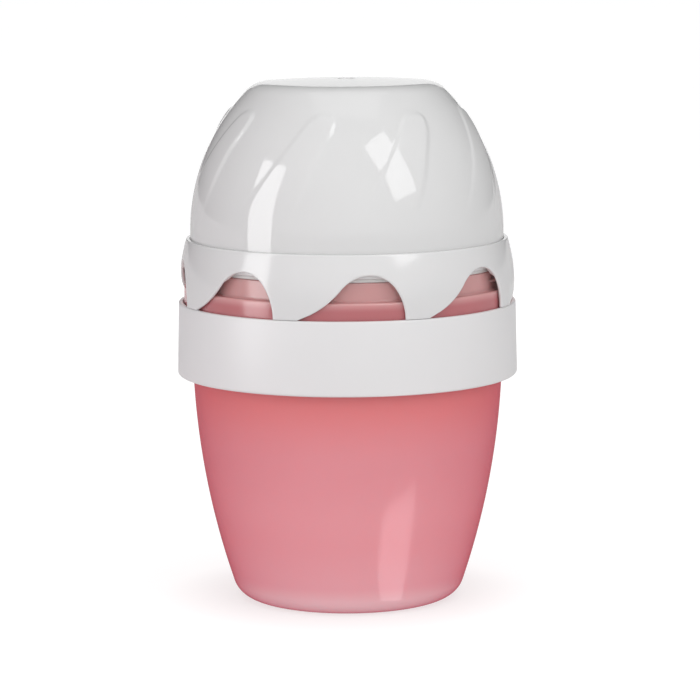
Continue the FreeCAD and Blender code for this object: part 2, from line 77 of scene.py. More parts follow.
def rounded(corners, closed=True, step=12.0):
    """An outline with its corners rounded. Corners are (radius, height) or (radius, height, rounding)."""
    found = []
    count = len(corners)
    for i, corner in enumerate(corners):
        here = np.array(corner[:2], float)
        rounding = corner[2] if len(corner) > 2 else 0.0
        if rounding <= 0 or (not closed and i in (0, count - 1)):
            found.append(tuple(here))
            continue
        before = np.array(corners[i - 1][:2], float) - here
        after = np.array(corners[(i + 1) % count][:2], float) - here
        u, v = before / np.hypot(*before), after / np.hypot(*after)
        half = math.acos(float(np.clip(u @ v, -1, 1))) / 2
        if half > math.pi / 2 - 0.01:
            found.append(tuple(here))
            continue
        reach = rounding / math.tan(half)
        start, end = here + u * reach, here + v * reach
        left = (u[0] * v[1] - u[1] * v[0]) < 0
        pieces = max(3, int(math.degrees(math.pi - 2 * half) / step) + 2)
        found.extend(arc(start, end, rounding, left, pieces))
    return found


def make_object(name, verts, faces, material):
    mesh = bpy.data.meshes.new(name)
    mesh.from_pydata(np.asarray(verts, float) * MM, [], [list(map(int, f)) for f in faces])
    mesh.validate()
    mesh.update()
    obj = bpy.data.objects.new(name, mesh)
    bpy.context.scene.collection.objects.link(obj)
    mesh.materials.append(material)
    mesh.shade_smooth()
    mesh.set_sharp_from_angle(angle=math.radians(SHARP_EDGE))
    return obj


def lathe(outline, segments, closed=True, shape=None):
    """(points, faces) of an outline turned about the upright axis. Ends on the axis become poles.

    shape(turn, radius, height) gives the ring's own radius and height at each turn.
    """
    outline = np.array(outline, float)
    turn = np.arange(segments) / segments * TAU
    verts, rings = [], []
    for r, z in outline:
        if r < 1e-6 and not closed:
            rings.append([len(verts)] * segments)
            verts.append((0.0, 0.0, z))
            continue
        radius = np.full(segments, r)
        height = np.full(segments, z)
        if shape is not None:
            radius, height = shape(turn, radius, height)
        rings.append(list(range(len(verts), len(verts) + segments)))
        verts.extend(zip(radius * np.sin(turn), -radius * np.cos(turn), height))
    faces = []
    pairs = list(zip(rings, rings[1:])) + ([(rings[-1], rings[0])] if closed else [])
    for low, high in pairs:
        for i in range(segments):
            j = (i + 1) % segments
            face = [low[i], high[i], high[j], low[j]]
            face = [v for k, v in enumerate(face) if v != face[k - 1]]
            if len(face) > 2:
                faces.append(face)
    return verts, faces


def lug(root, crest, root_height, crest_height, middle, start, sweep, lead, steps=20):
    """(points, faces) of one length of thread. start and sweep are degrees from the front."""
    half_root, half_crest = root_height / 2, crest_height / 2
    out = 1 if crest > root else -1
    section = rounded(
        [
            (root, -half_root),
            (crest, -half_crest, 0.25),
            (crest, half_crest, 0.25),
            (root, half_root),
        ],
        step=30,
    )
    verts, faces = [], []
    for i in range(steps + 1):
        share = i / steps
        turn = math.radians(start + sweep * share)
        rise = middle + lead * sweep * share / 360
        fade = min(1.0, 0.35 + 4 * min(share, 1 - share))
        for r, z in section:
            radius = root + (r - root) * fade
            verts.append((radius * math.sin(turn), -radius * math.cos(turn), rise + z * fade))
    count = len(section)
    for i in range(steps):
        for k in range(count):
            a, b = i * count + k, i * count + (k + 1) % count
            faces.append([a, b, b + count, a + count] if out > 0 else [a, a + count, b + count, b])
    faces.append(list(range(count))[::-1])
    faces.append([steps * count + k for k in range(count)])
    return verts, faces


def around(shape, count):
    """Copies of a shape evenly round the upright axis."""
    verts, faces = shape
    verts = np.array(verts, float)
    copies = []
    for i in range(count):
        c, s = math.cos(i * TAU / count), math.sin(i * TAU / count)
        turned = verts @ np.array([[c, s, 0], [-s, c, 0], [0, 0, 1]])
        copies.append((turned, faces))
    return copies


def joined(shapes):
    verts, faces = [], []
    for points, sides in shapes:
        base = len(verts)
        verts.extend(map(tuple, points))
        faces.extend([[v + base for v in f] for f in sides])
    return verts, faces


# ---------------------------------------------------------------- materials


def new_material(name):
    material = bpy.data.materials.new(name)
    material.use_nodes = True
    tree = material.node_tree
    return material, tree, tree.nodes["Principled BSDF"]


def noise(tree, scale, detail):
    """A noise texture that stays with the piece."""
    where = tree.nodes.new("ShaderNodeTexCoord")
    texture = tree.nodes.new("ShaderNodeTexNoise")
    texture.inputs["Scale"].default_value = scale
    texture.inputs["Detail"].default_value = detail
    tree.links.new(where.outputs["Object"], texture.inputs["Vector"])
    return texture.outputs["Fac"]


def mapped(tree, value, from_range, to_range=(0.0, 1.0), interpolation="LINEAR"):
    """The value, carried from one range to another."""
    node = tree.nodes.new("ShaderNodeMapRange")
    node.interpolation_type = interpolation
    node.inputs["From Min"].default_value, node.inputs["From Max"].default_value = from_range
    node.inputs["To Min"].default_value, node.inputs["To Max"].default_value = to_range
    tree.links.new(value, node.inputs["Value"])
    return node.outputs["Result"]


def blended(tree, share, first, second):
    """A colour between first, a colour or another node's output, and the colour second."""
    node = tree.nodes.new("ShaderNodeMix")
    node.data_type = "RGBA"
    node.inputs["B"].default_value = (*second, 1)
    tree.links.new(share, node.inputs["Factor"])
    if isinstance(first, tuple):
        node.inputs["A"].default_value = (*first, 1)
    else:
        tree.links.new(first, node.inputs["A"])
    return node.outputs["Result"]


CLOUD, SCUFF, SWELL = (45.0, 3.0), (260.0, 3.0), (70.0, 1.0)  # scale and detail of each noise
SCUFF_RANGE, SCUFF_ROUGHER = (0.35, 0.75), 0.04
RIPPLE_STRENGTH, RIPPLE_DEPTH = 0.1, 0.6
SCATTER_DEPTH = 4.0
SKIN_IOR, SKIN_ROUGHNESS = 1.01, 0.15


def moulded_plastic(
    name, colour, shade, roughness, scatter, scatter_radius, depth_tint=None, bands=(), ior=1.5
):
    """Glossy moulded plastic: cloudy colour, a faint orange-peel ripple and fine scuffs.

    depth_tint is the colour that its clear skin gives to light on its way through.
    Each of bands is (colour, start, end): a colour that takes over from one height to another, in mm.
    """
    material, tree, shader = new_material(name)
    tint = blended(tree, noise(tree, *CLOUD), colour, shade)
    if bands:
        where = tree.nodes.new("ShaderNodeTexCoord")
        split = tree.nodes.new("ShaderNodeSeparateXYZ")
        tree.links.new(where.outputs["Object"], split.inputs[0])
    for colour_there, start, end in bands:
        level = mapped(tree, split.outputs["Z"], (start * MM, end * MM), interpolation="SMOOTHSTEP")
        tint = blended(tree, level, tint, colour_there)
    tree.links.new(tint, shader.inputs["Base Color"])
    scuffed = mapped(tree, noise(tree, *SCUFF), SCUFF_RANGE, (roughness, roughness + SCUFF_ROUGHER))
    tree.links.new(scuffed, shader.inputs["Roughness"])
    bump = tree.nodes.new("ShaderNodeBump")
    bump.inputs["Strength"].default_value = RIPPLE_STRENGTH
    bump.inputs["Distance"].default_value = RIPPLE_DEPTH * MM
    tree.links.new(noise(tree, *SWELL), bump.inputs["Height"])
    tree.links.new(bump.outputs["Normal"], shader.inputs["Normal"])
    shader.inputs["IOR"].default_value = ior
    shader.inputs["Subsurface Weight"].default_value = scatter
    shader.inputs["Subsurface Radius"].default_value = scatter_radius
    shader.inputs["Subsurface Scale"].default_value = SCATTER_DEPTH * MM
    if depth_tint:
        shader.inputs["Coat Weight"].default_value = 1.0
        shader.inputs["Coat IOR"].default_value = SKIN_IOR
        shader.inputs["Coat Roughness"].default_value = SKIN_ROUGHNESS
        shader.inputs["Coat Tint"].default_value = (*depth_tint, 1)
    return material


def white_plastic(name, colour, shade, roughness):
    return moulded_plastic(name, colour, shade, roughness, 0.15, (1.0, 0.9, 0.85))


WHITE = white_plastic("white_moulding", (0.8, 0.795, 0.797), (0.77, 0.765, 0.767), 0.12)
SATIN = white_plastic("satin_moulding", (0.85, 0.84, 0.845), (0.82, 0.81, 0.815), 0.38)
MILKY = moulded_plastic(
    "milky_moulding",
    colour=(0.8, 0.8, 0.8),
    shade=(0.77, 0.77, 0.77),
    roughness=0.05,
    scatter=0.25,
    scatter_radius=(1.0, 1.0, 1.0),
)
PINK = moulded_plastic(
    "pink_moulding",
    colour=(0.92, 0.425, 0.455),
    shade=(0.88, 0.395, 0.425),
    roughness=0.14,
    scatter=0.3,
    scatter_radius=(1.0, 0.4, 0.4),
    depth_tint=(0.95, 0.77, 0.8),
    bands=[
        # darker, deeper pink up under the grip band: partly painted shade from the band, partly the deeper
        # colour of the double wall
        ((0.9, 0.31, 0.31), 50.0, 74.0),
        # paler towards the foot and palest in its last 10 mm: painted light shining through the wall and
        # the clear foot
        ((0.96, 0.46, 0.49), 52.0, 30.0),
        ((0.96, 0.53, 0.565), 26.0, 6.0),
        ((0.99, 0.8, 0.81), 10.0, 1.0),
    ],
    ior=1.38,
)
ROSE = moulded_plastic(
    "rose_moulding",
    colour=(0.57, 0.2, 0.215),
    shade=(0.53, 0.175, 0.19),
    roughness=0.14,
    scatter=0.6,
    scatter_radius=(1.0, 0.6, 0.6),
    bands=[((0.68, 0.365, 0.36), 100.5, 103.7)],
)
SILICONE = moulded_plastic(
    "silicone",
    colour=(0.8, 0.78, 0.76),
    shade=(0.76, 0.74, 0.72),
    roughness=0.45,
    scatter=0.3,
    scatter_radius=(1.0, 0.8, 0.7),
)

# ---------------------------------------------------------------- outer cup

CUP_RIM_X, CUP_RIM_Z, CUP_WALL = 50.5, 75.0, 2.0
CUP_BOW, CUP_BOW_Z = 250.0, 84.7  # the side's bow, and the height of its centre
CUP_BOW_X = CUP_RIM_X - math.sqrt(CUP_BOW**2 - (CUP_BOW_Z - CUP_RIM_Z) ** 2)
FOOT_BEND, FLOOR_TOP = 8.0, 2.6


def bow_radius(z, inset=0.0):
    return CUP_BOW_X + math.sqrt((CUP_BOW - inset) ** 2 - (CUP_BOW_Z - z) ** 2)


def foot_arc(bend, inset, floor, count):
    """The foot's bend, tangent to the bowed side and to the floor."""
    z = floor + bend
    x = CUP_BOW_X + math.sqrt((CUP_BOW - inset - bend) ** 2 - (CUP_BOW_Z - z) ** 2)
    last = math.atan2(z - CUP_BOW_Z, x - CUP_BOW_X)
    turn = np.linspace(-math.pi / 2, last, count)
    return [(x + bend * math.cos(t), z + bend * math.sin(t)) for t in turn]


def make_outer_cup():
    recess = [(20.0, 0.8), (22.0, 0.8, 0.3), (22.0, 0.0, 0.4), (24.0, 0.0)]
    outside = [(0.0, 0.8)] + rounded(recess, closed=False)
    outside += foot_arc(FOOT_BEND, 0.0, 0.0, 22)
    outside += [(bow_radius(z), z) for z in np.linspace(10.0, 74.4, 40)]
    neck = [
        (CUP_RIM_X, CUP_RIM_Z, 0.6),
        (49.8, 76.0, 0.5),
        (49.8, 90.5, 0.5),
        (47.6, 90.5, 0.5),
        (47.6, 77.0, 1.0),
        (48.5, 74.0, 1.0),
    ]
    neck_points = rounded([outside[-1], *neck, (bow_radius(72.5, CUP_WALL), 72.5)], closed=False)[1:]
    inside = [(bow_radius(z, CUP_WALL), z) for z in np.linspace(71.0, 12.0, 30)]
    inside += foot_arc(FOOT_BEND - CUP_WALL, CUP_WALL, FLOOR_TOP, 14)[::-1]
    inside += [(14.0, FLOOR_TOP), (0.0, FLOOR_TOP)]
    body = lathe(outside + neck_points + inside, FINE, closed=False)
    tooth = lug(
        root=49.5,
        crest=51.6,
        root_height=3.2,
        crest_height=1.6,
        middle=BAND_THREAD_Z,
        start=0.0,
        sweep=40.0,
        lead=THREAD_LEAD,
    )
    lugs = around(tooth, BAND_LUGS)
    gate = lathe([(0.0, 0.35), (1.3, 0.35), (1.5, 0.9), (0.0, 0.9)], 32, closed=False)
    piece = make_object("cup_shell", *joined([body, *lugs, gate]), PINK)
    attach(piece, "outer")
    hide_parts("outer_cup")


# ---------------------------------------------------------------- grip band


def make_band():
    outline = rounded(
        [
            (55.5, 74.2, 0.9),
            (55.0, 98.0, 0.55),
            (53.5, 98.0, 0.4),
            (53.5, 96.0, 0.2),
            (51.4, 96.0, 0.3),
            (51.4, 94.1, 0.3),
            (53.0, 94.1, 0.2),
            (53.0, 76.2, 0.3),
            (52.3, 75.4, 0.3),
            (52.3, 74.2, 0.3),
        ],
        step=18,
    )
    body = lathe(outline, FINE)
    under = 2.4  # how far the band's lugs lie under the cup's
    tooth = lug(
        root=53.3,
        crest=50.3,
        root_height=3.0,
        crest_height=1.4,
        middle=BAND_THREAD_Z - under + THREAD_LEAD * LEAD_IN / 360,
        start=LEAD_IN,
        sweep=30.0,
        lead=THREAD_LEAD,
    )
    lugs = around(tooth, BAND_LUGS)
    piece = make_object("band_shell", *joined([body, *lugs]), SATIN)
    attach(piece, "band")
    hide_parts("grip_band")


# ---------------------------------------------------------------- mixing cup


BOWL_FOOT_X, BOWL_FOOT_Z, BOWL_TOP_X, BOWL_TOP_Z = 37.0, 30.0, 45.4, 87.0
BOWL_WALL, FIN_HALF, FIN_COUNT = 2.0, 1.0, 4


def make_mixing_cup():
    slope = (BOWL_TOP_X - BOWL_FOOT_X) / (BOWL_TOP_Z - BOWL_FOOT_Z)

    def side(z, inset=0.0):
        return BOWL_FOOT_X - inset + slope * (z - BOWL_FOOT_Z), z

    corner = [(24.0, BOWL_FOOT_Z), (BOWL_FOOT_X, BOWL_FOOT_Z, 8.0), side(60.0)]
    outside = [(0.0, BOWL_FOOT_Z), (20.0, BOWL_FOOT_Z)]
    outside += rounded(corner, closed=False, step=6)[1:-1]
    outside += [side(z) for z in np.linspace(42, 86, 12)]
    top = [
        (BOWL_TOP_X, BOWL_TOP_Z, 1.0),
        (46.8, 92.1, 0.6),
        (52.7, 92.1, 0.3),
        (52.7, 94.0, 0.4),
        (51.0, 94.0, 0.2),
        (51.0, 96.1, 0.2),
        (53.2, 96.1, 0.3),
        (53.2, 103.5, 0.7),
        (50.8, 103.5, 0.8),
        (50.8, 109.6, 0.5),
        (48.6, 109.6, 0.5),
        (48.6, 96.1, 2.0),
        (BOWL_TOP_X - BOWL_WALL, BOWL_TOP_Z, 1.0),
    ]
    floor = BOWL_FOOT_Z + BOWL_WALL
    middle = rounded([outside[-1], *top, side(42.0, BOWL_WALL)], closed=False)[1:-1]
    inside = rounded([side(50.0, BOWL_WALL), (35.2, floor, 6.0), (20.0, floor)], closed=False, step=8)
    body = lathe(outside + middle + inside + [(0.0, floor)], FINE, closed=False)
    tooth = lug(
        root=50.6,
        crest=52.3,
        root_height=2.0,
        crest_height=1.0,
        middle=COLLAR_THREAD_Z,
        start=COLLAR_LUG_START,
        sweep=20.0,
        lead=THREAD_LEAD,
    )
    lugs = around(tooth, COLLAR_LUGS)
    fin = rounded(
        [(44.4, 83.0), (39.9, 75.0, 1.2), (27.5, 31.0, 1.0), (29.0, 31.0), (35.0, 37.0)],
        step=20,
    )
    count = len(fin)
    points = [(r, across, z) for across in (-FIN_HALF, FIN_HALF) for r, z in fin]
    sides = [[i, (i + 1) % count, (i + 1) % count + count, i + count] for i in range(count)]
    sides += [list(range(count))[::-1], [count + i for i in range(count)]]
    fins = around((points, sides), FIN_COUNT)
    piece = make_object("mixing_shell", *joined([body, *lugs, *fins]), ROSE)
    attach(piece, "mixing")
    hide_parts("mixing_cup")


# ---------------------------------------------------------------- drip collar

FOOT_Z = 98.15
DRIPS = 8
SECTOR = TAU / DRIPS
SKIRT_X, SKIRT_Z, LIP_X, LIP_Z, COLLAR_BOW = 54.8, 101.0, 52.3, 118.6, 62.0
SOCKET_X, LEDGE_Z = 51.2, 114.3
RIM_ROUNDING = 0.55

# the rim of a window, across and up from the collar's foot: up its left side and down its right
WINDOW_LEFT, WINDOW_WAIST, PEAK, WINDOW_BROW, WINDOW_RIGHT = (
    (-15.6, 0.0), (-2.2, 9.2), (7.0, 14.0), (15.34, 9.67), (18.4, 0.0)
)
HOLLOW = arc(WINDOW_LEFT, WINDOW_WAIST, 33.0, True, 40)
CREST = arc(WINDOW_WAIST, PEAK, 12.6, False, 40)
BROW = arc(PEAK, WINDOW_BROW, 10.2, False, 30)
CHEEK = arc(WINDOW_BROW, WINDOW_RIGHT, 16.8, False, 30)
RISING = np.array(HOLLOW + CREST[1:])
FALLING = np.array(BROW + CHEEK[1:])

# rows of the mesh, by height over the foot: closer together near the peak
PEAK_X, PEAK_Z = PEAK
BELOW_PEAK = list(PEAK_Z * np.sqrt(np.linspace(0, 0.9995, 58)))
ABOVE_PEAK = [PEAK_Z + d for d in (0.06, 0.14, 0.26, 0.42, 0.65, 1.0, 1.5, 2.1, 2.8, 3.5, 4.2, 4.9, 5.4)]
NEAR_RIM = np.array([0, 0.06, 0.14, 0.26, 0.42, 0.65, 1.0])  # columns, by distance from a window
COLUMNS, MOST_NEAR = 34, 0.25


def collar_radius(z):
    """Outer radius of the collar at these heights."""
    z = np.asarray(z, float)
    a, b = np.array([SKIRT_X, SKIRT_Z]), np.array([LIP_X, LIP_Z])
    half = (b - a) / 2
    length = float(np.hypot(*half))
    normal = np.array([-half[1], half[0]]) / length
    centre = (a + b) / 2 + normal * math.sqrt(COLLAR_BOW**2 - length**2)
    bowed = centre[0] + np.sqrt(np.maximum(COLLAR_BOW**2 - (z - centre[1]) ** 2, 0))
    return np.where(z <= SKIRT_Z, SKIRT_X, bowed)


def collar_bore(height):
    """Inner radius behind the drips, at a height over the foot. It steps in over 1 mm."""
    return 53.5 - 1.3 * min(max(height + FOOT_Z - 108.4, 0.0), 1.0)


def rim_x(curve, height):
    """Where a side of a window is, across, at this height over the foot."""
    order = np.argsort(curve[:, 1])
    return float(np.interp(height, curve[order, 1], curve[order, 0]))


def window_distance(x, height):
    """Distance of points on the collar from the nearest window's edge."""
    edge = np.vstack([RISING, FALLING[1:]])
    a, b = edge[:-1], edge[1:]
    points = np.stack([x, height], -1)[:, None, :]
    run = b - a
    share = np.clip(((points - a) * run).sum(-1) / (run**2).sum(-1), 0, 1)
    near = a + run * share[..., None]
    return np.hypot(*(points - near).transpose(2, 0, 1)).min(1)


def window_gap(angle, radius, height):
    """Distance of points on the collar from the nearest window's edge, for angles in any sector."""
    local = (angle + SECTOR / 2) % SECTOR - SECTOR / 2
    level = np.full(len(local), height)
    gaps = [window_distance(radius * np.sin(local + k * SECTOR), level) for k in (-1, 0, 1)]
    return np.minimum.reduce(gaps)


def strip_angles(height, radius):
    """Angles across one drip, from the window on its left to the window on its right."""
    if height < PEAK_Z:
        left = math.asin(rim_x(FALLING, height) / radius)
        right = math.asin(rim_x(RISING, height) / radius) + SECTOR
    else:
        left = math.asin(PEAK_X / radius)
        right = left + SECTOR
    near = NEAR_RIM / ((right - left) * radius)
    if near[-1] > MOST_NEAR:
        near = near * MOST_NEAR / near[-1]
    middle = np.linspace(near[-1], 1 - near[-1], COLUMNS - 2 * len(near) + 2)[1:-1]
    share = np.concatenate([near, middle, 1 - near[::-1]])
    angles = left + (right - left) * share
    return angles if height < PEAK_Z else angles[:-1]


def bridge(low, high):
    """Faces between two rings of vertex numbers."""
    count = len(low)
    return [[low[i], low[(i + 1) % count], high[(i + 1) % count], high[i]] for i in range(count)]


def make_collar():
    verts, faces = [], []

    def put_row(height, radius, sign):
        """Eight strips of vertex numbers. The skin dips towards the rim of a window."""
        angles = strip_angles(height, radius)
        inset = np.maximum(RIM_ROUNDING - window_gap(angles, radius, height), 0)
        dip = RIM_ROUNDING - np.sqrt(np.maximum(RIM_ROUNDING**2 - inset**2, 0))
        row = []
        for k in range(DRIPS):
            strip = []
            for angle, d in zip(angles + k * SECTOR, dip):
                r = radius - d if sign > 0 else radius + d / 2
                strip.append(len(verts))
                verts.append((r * math.sin(angle), -r * math.cos(angle), FOOT_Z + height))
            row.append(strip)
        return row

    outer = [put_row(h, float(collar_radius(FOOT_Z + h)), 1) for h in BELOW_PEAK + ABOVE_PEAK]
    inner = [put_row(h, collar_bore(h), -1) for h in BELOW_PEAK + ABOVE_PEAK[:2]]

    def whole(row, k):
        return row[k] if len(row[k]) == COLUMNS else row[k] + [row[(k + 1) % DRIPS][0]]

    def stitch(table, flip):
        for low, high in zip(table, table[1:]):
            for k in range(DRIPS):
                a, b = whole(low, k), whole(high, k)
                for i in range(COLUMNS - 1):
                    quad = [a[i], a[i + 1], b[i + 1], b[i]]
                    faces.append(quad[::-1] if flip else quad)

    stitch(outer, False)
    stitch(inner, True)
    last = len(BELOW_PEAK) - 1
    for i in range(last):
        for k in range(DRIPS):
            faces.append([outer[i + 1][k][0], outer[i][k][0], inner[i][k][0], inner[i + 1][k][0]])
            faces.append([outer[i][k][-1], outer[i + 1][k][-1], inner[i + 1][k][-1], inner[i][k][-1]])
    for k in range(DRIPS):  # over each peak, and under each drip
        after = (k + 1) % DRIPS
        end_out, start_out, peak_out = outer[last][k][-1], outer[last][after][0], outer[last + 1][after][0]
        end_in, start_in, peak_in = inner[last][k][-1], inner[last][after][0], inner[last + 1][after][0]
        faces.append([end_out, start_out, peak_out])
        faces.append([start_in, end_in, peak_in])
        faces.append([start_out, end_out, end_in, start_in])
        for i in range(COLUMNS - 1):
            faces.append([outer[0][k][i + 1], outer[0][k][i], inner[0][k][i], inner[0][k][i + 1]])
    top_z, under_z = FOOT_Z + ABOVE_PEAK[-1], FOOT_Z + ABOVE_PEAK[1]
    section = rounded(
        [
            (float(collar_radius(top_z)), top_z),
            (LIP_X, LIP_Z, 0.5),
            (SOCKET_X, LIP_Z, 0.15),
            (SOCKET_X, LEDGE_Z, 0.3),
            (47.8, LEDGE_Z, 0.5),
            (47.8, 112.5, 0.5),
            (52.2, 112.5, 0.1),
            (52.2, under_z),
        ],
        closed=False,
        step=15,
    )[1:-1]
    ring = [v for strip in outer[-1] for v in strip]
    angles = [math.atan2(verts[v][0], -verts[v][1]) for v in ring]
    last_ring = [v for strip in inner[-1] for v in strip]
    for r, z in section:
        made = list(range(len(verts), len(verts) + len(angles)))
        verts.extend((r * math.sin(a), -r * math.cos(a), z) for a in angles)
        faces.extend(bridge(ring, made))
        ring = made
    faces.extend(bridge(ring, last_ring))
    under = 1.8  # how far the collar's lugs lie under the mixing cup's
    tooth = lug(
        root=53.8,
        crest=51.3,
        root_height=2.0,
        crest_height=1.0,
        middle=COLLAR_THREAD_Z - under + THREAD_LEAD * LEAD_IN / 360,
        start=COLLAR_LUG_START + LEAD_IN,
        sweep=10.0,
        lead=THREAD_LEAD,
    )
    tab = lug(
        root=52.5,
        crest=51.5,
        root_height=1.0,
        crest_height=1.0,
        middle=110.0,
        start=-65.2,
        sweep=10.0,
        lead=0.0,
    )
    lugs, tabs = around(tooth, COLLAR_LUGS), around(tab, COLLAR_LUGS)
    piece = make_object("collar_shell", *joined([(verts, faces), *lugs, *tabs]), WHITE)
    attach(piece, "collar")
    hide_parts("drip_collar")


# ---------------------------------------------------------------- dome

DOME_X, DOME_FOOT_Z, DOME_WALL = 51.0, 114.4, 1.8
DOME_BOW, SPRING_Z = 66.0, 120.6
DOME_BOW_X = DOME_X - DOME_BOW
BEND, CROWN = 8.5, 400.0
TOP_Z = 170.1
CROWN_Z = TOP_Z - CROWN
DOME_SEGMENTS = 576


def bend_centre():
    """Centre of the bend, which touches the dome's side and its slightly crowned top."""
    side = np.array([DOME_BOW_X, SPRING_Z])
    top = np.array([0.0, CROWN_Z])
    apart = top - side
    span = float(np.hypot(*apart))
    along = ((DOME_BOW - BEND) ** 2 - (CROWN - BEND) ** 2 + span**2) / (2 * span)
    off = math.sqrt((DOME_BOW - BEND) ** 2 - along**2)
    return side + apart / span * along + np.array([-apart[1], apart[0]]) / span * off


def make_dome_outline(inset, side_count, bend_count, top_count):
    """The dome's section from its foot to the axis, inset mm inside its outer face."""
    x, z = bend_centre()
    meet, rim = math.atan2(z - SPRING_Z, x - DOME_BOW_X), math.atan2(z - CROWN_Z, x)

    def part(middle_x, middle_z, radius, first, last, count):
        turn = np.linspace(first, last, count)
        return [(middle_x + radius * math.cos(t), middle_z + radius * math.sin(t)) for t in turn]

    side = part(DOME_BOW_X, SPRING_Z, DOME_BOW - inset, 0, meet, side_count)
    bend = part(x, z, BEND - inset, meet, rim, bend_count)
    top = part(0.0, CROWN_Z, CROWN - inset, rim, math.pi / 2, top_count)
    return side + bend[1:] + top[1:]


# the edge of the lobe left of the front, as (degrees, height): over its nose, down its left side,
# along its foot and up its right side
SWIRL_EDGE = [
    (-4.6, 158.0),
    (-4.4, 159.6),
    (-6.0, 161.0),
    (-8.6, 161.7),
    (-11.5, 161.8),
    (-14.6, 161.3),
    (-17.6, 160.0),
    (-20.0, 157.7),
    (-23.0, 154.2),
    (-26.6, 149.9),
    (-30.6, 144.9),
    (-34.4, 139.9),
    (-38.3, 134.8),
    (-42.4, 129.2),
    (-46.0, 124.0),
    (-44.0, 121.5),
    (-30.0, 121.0),
    (-22.5, 125.0),
    (-18.5, 131.0),
    (-15.2, 137.0),
    (-12.4, 143.0),
    (-9.8, 148.5),
    (-7.4, 152.4),
    (-5.4, 155.6),
]
LOOP_STEPS = 5  # pieces of the smoothed edge to each of its points
LOBE_AT, LOBE_SPACING = -20.0, 45.0


def smooth_loop(points, count):
    """A closed smooth curve through the points, sampled evenly by number."""
    points = np.array(points, float)
    size = len(points)
    found = []
    for i in range(size):
        p0, p1, p2, p3 = (points[(i + k) % size] for k in (-1, 0, 1, 2))
        square = 2 * p0 - 5 * p1 + 4 * p2 - p3
        cube = -p0 + 3 * p1 - 3 * p2 + p3
        for t in np.linspace(0, 1, count, endpoint=False):
            found.append((2 * p1 + (p2 - p0) * t + square * t**2 + cube * t**3) / 2)
    return np.array(found)


def dome_flat(angle, z):
    """A flat map of the dome's side, in mm across and up."""
    z = np.asarray(z, float)
    lean = np.arcsin(np.clip((z - SPRING_Z) / DOME_BOW, 0, 0.78))
    up = np.where(z > SPRING_Z, DOME_BOW * lean, z - SPRING_Z)
    radius = DOME_BOW_X + DOME_BOW * np.cos(lean)
    return np.stack([np.radians(angle) * radius, up], -1)


SWIRL_MM = dome_flat(*smooth_loop(SWIRL_EDGE, LOOP_STEPS).T)
LEFT_EDGE = slice(LOOP_STEPS * 6, LOOP_STEPS * 14)
RIGHT_EDGE = slice(LOOP_STEPS * 17, LOOP_STEPS * 24)
NOSE_AT, NOSE_REACH = 3.5 / 24, 0.14  # as shares of the edge
STEP_WIDTH, WIDER_RIGHT, WIDER_NOSE = 1.5, 0.6, 1.3
STEP_HEIGHT, HIGHER_RIGHT, STEP_OVERHANG = 0.3, 0.32, 0.15
TAIL_Z, TAIL_LENGTH = 123.0, 26.0
LOBES_FROM, LOBES_TO = 122.0, 165.0


def eased(t):
    return t * t * (3 - 2 * t)


def inside_loop(points, loop):
    x, y = points[:, 0][:, None], points[:, 1][:, None]
    x0, y0 = loop[:, 0], loop[:, 1]
    x1, y1 = np.roll(x0, -1), np.roll(y0, -1)
    where = (x1 - x0) * (y - y0) / np.where(y1 == y0, 1e-9, y1 - y0) + x0
    crosses = ((y0 > y) != (y1 > y)) & (x < where)
    return crosses.sum(1) % 2 == 1


def swirl_height(angle, z):
    """How far the swirl lobe left of the front stands out, in mm, at these degrees and heights."""
    points = dome_flat(angle, z)
    run = np.roll(SWIRL_MM, -1, axis=0) - SWIRL_MM
    rel = points[:, None, :] - SWIRL_MM
    share = np.clip((rel * run).sum(-1) / (run**2).sum(-1), 0, 1)
    near = np.hypot(*(rel - run * share[..., None]).transpose(2, 0, 1))
    depth = near.min(1) * np.where(inside_loop(points, SWIRL_MM), 1, -1)
    left, right = near[:, LEFT_EDGE].min(1), near[:, RIGHT_EDGE].min(1)
    # the left edge is a low step, the nose is round and the right edge stands highest
    lean = np.clip(left / (left + right), 0, 1)
    nose = np.clip(1 - np.abs(near.argmin(1) / len(run) - NOSE_AT) / NOSE_REACH, 0, 1)
    width = STEP_WIDTH + WIDER_RIGHT * lean + WIDER_NOSE * nose
    rise = eased(np.clip(depth / width + STEP_OVERHANG, 0, 1))
    tail = eased(np.clip((z - TAIL_Z) / TAIL_LENGTH, 0, 1))
    return (STEP_HEIGHT + HIGHER_RIGHT * lean) * rise * tail


def make_dome():
    skin = [(DOME_X, z) for z in (114.9, 116.5, 118.5)] + make_dome_outline(0.0, 90, 14, 7)
    outer = [p for p in skin if p[0] > 4.0]
    dimple = [(outer[-1][0] - 0.2, outer[-1][1]), (2.9, TOP_Z - 0.02, 0.4), (2.2, 169.5, 0.3), (0.9, 169.5)]
    nub = [(0.9, 169.5), (0.8, 169.5), (0.75, 169.8, 0.15), (0.0, 169.8)]
    with_dimple = outer + rounded(dimple, closed=False)[1:] + rounded(nub, closed=False)[1:]
    inner = make_dome_outline(DOME_WALL, 14, 7, 4)
    corners = [(DOME_X - DOME_WALL, DOME_FOOT_Z, 0.4), (DOME_X, DOME_FOOT_Z, 0.4)]
    foot = rounded([inner[0], *corners, outer[0]], closed=False)[1:-1]
    outer_rings = set(outer)

    def with_lobes(turn, radius, height):
        z = height[0]
        if (radius[0], z) not in outer_rings or not LOBES_FROM < z < LOBES_TO:
            return radius, height
        half = LOBE_SPACING / 2
        angle = (np.degrees(turn) - LOBE_AT + half) % LOBE_SPACING - half + LOBE_AT
        nearby = [swirl_height(angle + k * LOBE_SPACING, height) for k in (-1, 0, 1)]
        stand = np.maximum.reduce(nearby)
        lean = math.asin(min(0.99, (z - SPRING_Z) / DOME_BOW))
        return radius + stand * math.cos(lean), height + stand * math.sin(lean)

    # from the axis on top, out and down the outside, round the foot and back up the inside
    outline = with_dimple[::-1] + foot[::-1] + inner
    piece = make_object("dome_shell", *lathe(outline, DOME_SEGMENTS, closed=False, shape=with_lobes), MILKY)
    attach(piece, "top")
    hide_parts("dome")


# ---------------------------------------------------------------- inner lid and seals


